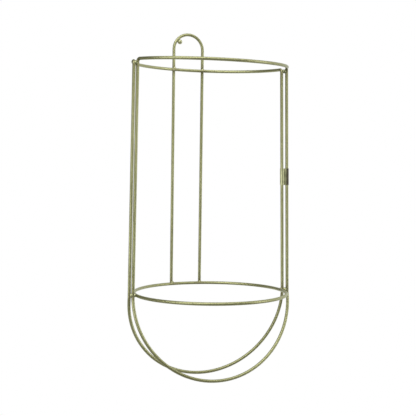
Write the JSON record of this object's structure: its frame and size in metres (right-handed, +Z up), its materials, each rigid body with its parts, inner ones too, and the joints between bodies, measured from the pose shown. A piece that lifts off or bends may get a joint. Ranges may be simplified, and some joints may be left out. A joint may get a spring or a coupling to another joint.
{
  "type": "wall planter",
  "caption": "Hanging wall planter frame of welded brass-coloured wire: a round ring holds a flowerpot between two tall arched hoops, with a hairpin hanger at the back",
  "frame": {"origin": "The point inside the hanger's round top that rests on the wall hook", "axes": "+X is to the right seen from the room, +Y points to the wall, +Z is up"},
  "size_m": [0.2701, 0.2479, 0.5642],
  "materials": {
    "brass_wire": "drawn wire, brushed satin",
    "sleeve_brass": "pinched tube, darkened",
    "weld_brass": "small brazed beads, slightly rough"
  },
  "bodies": {
    "root": {"front_hoop": "brass_wire", "back_hoop": "brass_wire", "pot_ring": "brass_wire", "hanger": "brass_wire", "joint_sleeve": "sleeve_brass", "hanger_stop": "weld_brass", "top_corner_welds": "weld_brass", "ring_level_welds": "weld_brass", "ring_post_welds": "weld_brass", "hanger_bar_welds": "weld_brass", "hanger_foot_welds": "weld_brass"}
  },
  "joints": []
}
